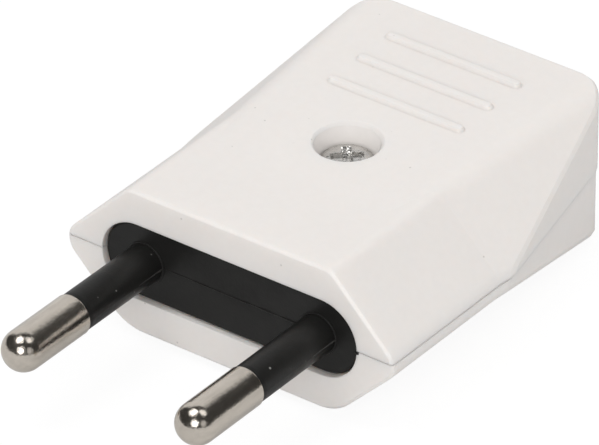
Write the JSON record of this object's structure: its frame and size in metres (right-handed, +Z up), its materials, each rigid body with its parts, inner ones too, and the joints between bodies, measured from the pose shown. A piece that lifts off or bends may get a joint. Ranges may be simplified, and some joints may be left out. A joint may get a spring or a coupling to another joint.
{
  "type": "flat electric plug",
  "caption": "Flat mains plug with round sleeved pins, a hexagonal nose and a flared, tapered grip that screws together around a hand-wired cord.",
  "frame": {"origin": "centre of the engagement face, midway between the pins, on the plane where the housing halves part", "axes": "+X across the plug from the left pin to the right pin as seen from the pins, the pins point along -Y, +Z up to the side with the screw"},
  "size_m": [0.036, 0.0581, 0.0164],
  "materials": {
    "housing": "satin moulded",
    "insert": "satin black moulded",
    "contact": "bright nickel plate",
    "screw": "bright zinc plate",
    "clamp": "moulded"
  },
  "bodies": {
    "root": {"upper_housing": "housing", "lower_housing": "housing", "pin_carrier": "insert", "contact_pin_left": "contact", "contact_pin_right": "contact", "terminal_screws": "screw", "housing_screw": "screw", "cord_clamp": "clamp", "cord_clamp_screws": "screw"}
  },
  "joints": []
}
